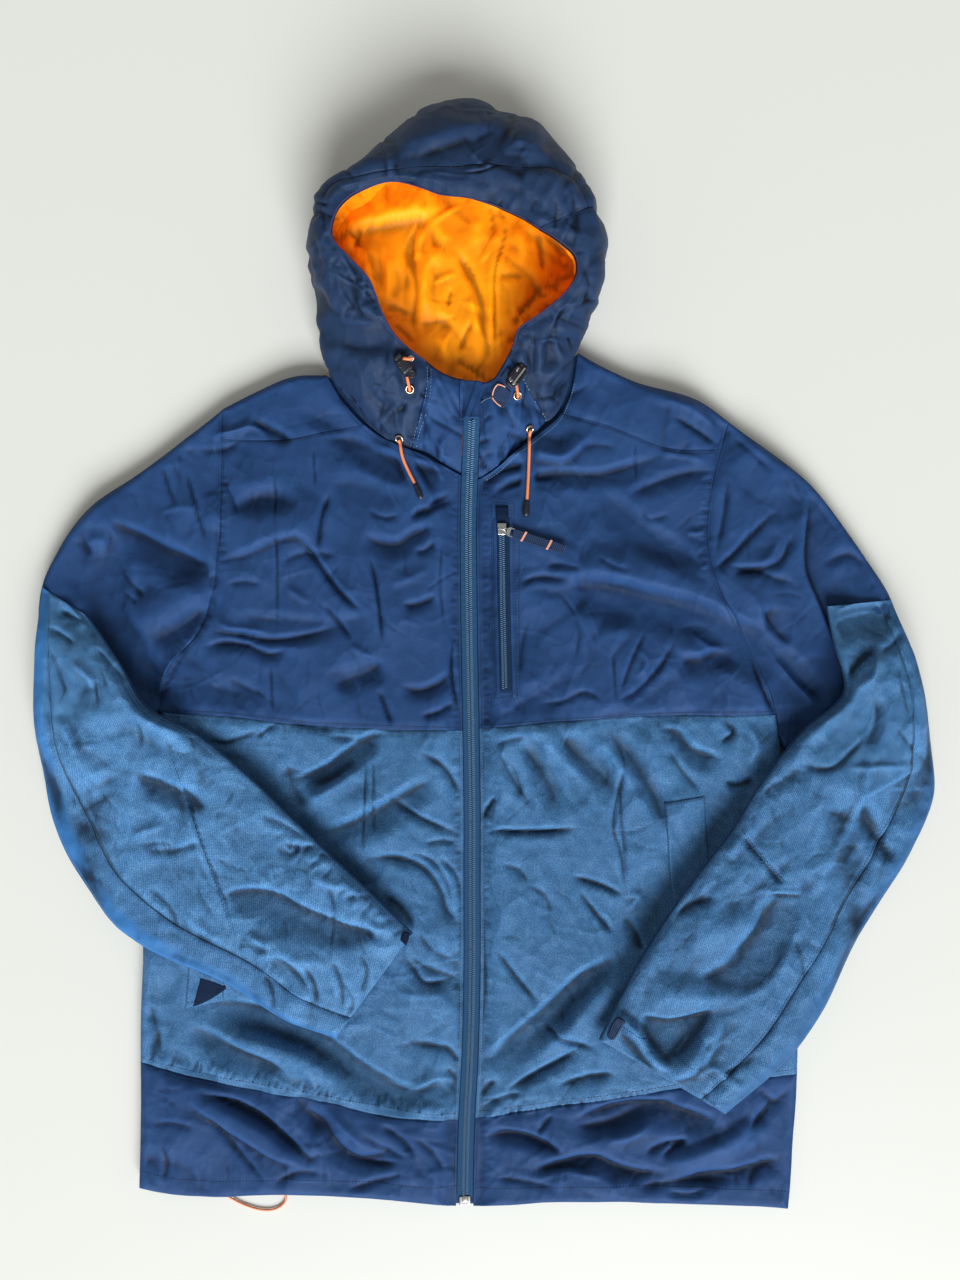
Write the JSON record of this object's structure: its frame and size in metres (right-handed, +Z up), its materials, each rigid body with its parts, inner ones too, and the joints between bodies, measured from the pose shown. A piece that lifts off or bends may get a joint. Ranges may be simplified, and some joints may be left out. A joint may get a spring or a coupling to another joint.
{
  "type": "padded winter jacket",
  "caption": "Hooded padded jacket laid flat face up, closed by a full-length front zip, sleeves folded forward over the fronts, hood open and showing its lining.",
  "frame": {"origin": "middle of the underside of the garment's box, on the surface that the jacket lies on", "axes": "+Y from the hem to the hood, +X across the garment to the picture's right (the wearer's left), +Z up from the surface, out of the front"},
  "size_m": [0.8466, 1.038, 0.0981],
  "materials": {
    "navy_shell": "matt woven polyester with a soft sheen",
    "heather_shell": "brushed two-tone twill",
    "plain_blue_shell": "plain matt weave",
    "orange_lining": "smooth taffeta with a satin sheen",
    "zip_tape": "woven tape",
    "zip_coil": "nylon coil",
    "zip_metal": "polished",
    "eyelet_metal": "pale copper plating",
    "lock_plastic": "satin moulding",
    "cord_coral": "braided",
    "webbing": "ribbed webbing"
  },
  "bodies": {
    "jacket": {"back_hem": "navy_shell", "back_lower": "heather_shell", "back_yoke": "navy_shell", "chest_slider": "zip_metal", "chest_zip_garage": "navy_shell", "chest_zip_tape": "zip_tape", "collar_L": "navy_shell", "collar_R": "navy_shell", "cord_end_L": "lock_plastic", "cord_end_R": "lock_plastic", "cord_lock_L": "lock_plastic", "cord_lock_R": "lock_plastic", "cuff_tab_R": "webbing", "eyelet_lower_L": "eyelet_metal", "eyelet_lower_R": "eyelet_metal", "eyelet_upper_L": "eyelet_metal", "eyelet_upper_R": "eyelet_metal", "forearm_top_L": "heather_shell", "forearm_top_R": "heather_shell", "forearm_under_L": "plain_blue_shell", "forearm_under_R": "plain_blue_shell", "front_lower_L": "heather_shell", "front_lower_R": "heather_shell", "front_yoke_L": "navy_shell", "front_yoke_R": "navy_shell", "hem_band_L": "navy_shell", "hem_band_R": "navy_shell", "hem_cord_L": "cord_coral", "hood_back": "navy_shell", "hood_brim": "navy_shell", "hood_cord_L": "cord_coral", "hood_cord_R": "cord_coral", "hood_crown": "navy_shell", "hood_side_L": "navy_shell", "hood_side_R": "navy_shell", "lining_L": "orange_lining", "lining_R": "orange_lining", "lining_back": "orange_lining", "lining_top": "orange_lining", "lock_cord_L": "cord_coral", "lock_cord_R": "cord_coral", "pocket_welt_L": "heather_shell", "pocket_welt_R": "heather_shell", "shoulder_yoke_L": "navy_shell", "shoulder_yoke_R": "navy_shell", "upper_arm_top_L": "navy_shell", "upper_arm_top_R": "navy_shell", "upper_arm_under_L": "navy_shell", "upper_arm_under_R": "navy_shell", "zip_box": "zip_metal", "zip_chain": "zip_coil", "zip_garage": "navy_shell", "zip_pull_tab": "webbing", "zip_slider": "zip_tape", "zip_tape_L": "zip_tape", "zip_tape_R": "zip_tape"},
    "pull": {"chest_pull": "zip_metal", "chest_pull_tab": "webbing"}
  },
  "joints": [
    {"name": "chest_pull_flip", "type": "hinge", "parent": "jacket", "child": "pull", "pos_m": [0.01373, 0.12542, 0.02474], "axis": [-0.309, -0.9511, 0], "range_deg": [0, 150]}
  ]
}
